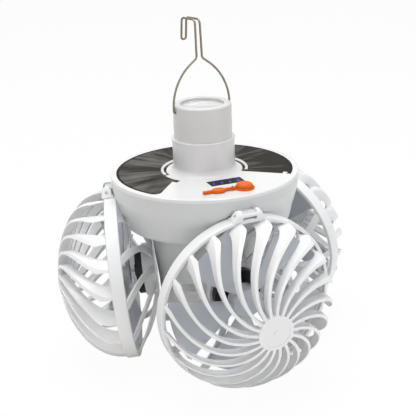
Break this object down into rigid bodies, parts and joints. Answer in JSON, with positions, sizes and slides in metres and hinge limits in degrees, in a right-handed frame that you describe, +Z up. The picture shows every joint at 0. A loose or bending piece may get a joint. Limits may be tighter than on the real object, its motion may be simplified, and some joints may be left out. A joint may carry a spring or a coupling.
{
  "type": "portable camping fan with folding pods",
  "caption": "White portable camping fan and lantern with folding domed fan pods, solar cover, torch neck and wire hanging hook.",
  "frame": {"origin": "on the axis of the round body, in the table plane under the rims of the folded pods", "axes": "+Z up along the body's axis through the neck; -Y towards the side with the controls; +X to the right seen from there"},
  "size_m": [0.1976, 0.2047, 0.2244],
  "materials": {
    "white_plastic": "smooth gloss",
    "neck_white": "smooth gloss",
    "clear_plastic": "clear",
    "bright_metal": "mirror bright",
    "board_green": "matte",
    "solar_film": "high gloss under clear film",
    "black_plastic": "gloss",
    "led_blue": "clear tinted",
    "orange_rubber": "satin",
    "orange_plastic": "satin",
    "socket_steel": "plain",
    "screw_steel": "plain",
    "diffuser_white": "frosted",
    "cell_wrap": "shrink wrap over a metal can",
    "hook_wire": "dull",
    "motor_dark": "dark anodised",
    "blade_grey": "smoky translucent"
  },
  "bodies": {
    "body": {"neck_cap": "neck_white", "torch_lens": "clear_plastic", "torch_reflector": "bright_metal", "torch_led_board": "board_green", "top_cover": "white_plastic", "solar_panel": "solar_film", "neck_trim": "bright_metal", "indicator_window": "black_plastic", "indicator_leds": "led_blue", "tact_switch": "black_plastic", "strap_anchor": "orange_rubber", "usb_socket": "socket_steel", "circuit_board": "board_green", "upper_housing": "white_plastic", "housing_screws": "screw_steel", "lower_housing": "white_plastic", "lamp_board": "board_green", "lamp_diffuser": "diffuser_white", "battery_cells": "cell_wrap", "battery_holder": "black_plastic"},
    "hook": {"hanging_hook": "hook_wire"},
    "button": {"power_button": "orange_plastic"},
    "port_flap": {"port_cover": "orange_rubber"},
    "left_pod": {"left_pod_front_guard": "white_plastic", "left_pod_rear_guard": "white_plastic", "left_pod_motor": "motor_dark", "left_pod_motor_screws": "screw_steel", "left_pod_hinge_pin": "screw_steel"},
    "left_pod_rotor": {"left_pod_motor_shaft": "screw_steel", "left_pod_impeller": "blade_grey"},
    "front_pod": {"front_pod_front_guard": "white_plastic", "front_pod_rear_guard": "white_plastic", "front_pod_motor": "motor_dark", "front_pod_motor_screws": "screw_steel", "front_pod_hinge_pin": "screw_steel"},
    "front_pod_rotor": {"front_pod_motor_shaft": "screw_steel", "front_pod_impeller": "blade_grey"},
    "right_pod": {"right_pod_front_guard": "white_plastic", "right_pod_rear_guard": "white_plastic", "right_pod_motor": "motor_dark", "right_pod_motor_screws": "screw_steel", "right_pod_hinge_pin": "screw_steel"},
    "right_pod_rotor": {"right_pod_motor_shaft": "screw_steel", "right_pod_impeller": "blade_grey"}
  },
  "joints": [
    {"name": "left_pod_fold", "type": "hinge", "parent": "body", "child": "left_pod", "pos_m": [-0.06396, -0.00223, 0.11708], "axis": [-0.0349, 0.9994, 0], "range_deg": [0, 95]},
    {"name": "left_pod_spin", "type": "hinge", "parent": "left_pod", "child": "left_pod_rotor", "pos_m": [-0.05675, -0.00198, 0.05758], "axis": [-0.9956, -0.0348, -0.0872], "continuous": true},
    {"name": "front_pod_fold", "type": "hinge", "parent": "body", "child": "front_pod", "pos_m": [0.02501, -0.05891, 0.11708], "axis": [-0.9205, -0.3907, 0], "range_deg": [0, 95]},
    {"name": "front_pod_spin", "type": "hinge", "parent": "front_pod", "child": "front_pod_rotor", "pos_m": [0.02219, -0.05227, 0.05758], "axis": [0.3892, -0.917, -0.0872], "continuous": true},
    {"name": "right_pod_fold", "type": "hinge", "parent": "body", "child": "right_pod", "pos_m": [0.0394, 0.05043, 0.11708], "axis": [0.788, -0.6157, 0], "range_deg": [-14, 81]},
    {"name": "right_pod_spin", "type": "hinge", "parent": "right_pod", "child": "right_pod_rotor", "pos_m": [0.04396, 0.05626, 0.05761], "axis": [0.6081, 0.7783, 0.1564], "continuous": true},
    {"name": "hook_swing", "type": "hinge", "parent": "body", "child": "hook", "pos_m": [0, 0, 0.16768], "axis": [0.8926, 0.4509, 0], "range_deg": [-100, 112]},
    {"name": "button_press", "type": "slide", "parent": "body", "child": "button", "axis": [0, 0, -1], "range_m": [0, 0.0008], "stiffness_N_per_m": 400, "springref_m": -0.002},
    {"name": "port_flap_lift", "type": "hinge", "parent": "body", "child": "port_flap", "pos_m": [0.01705, -0.04455, 0.12888], "axis": [-0.3584, 0.9336, 0], "range_deg": [0, 110]}
  ]
}
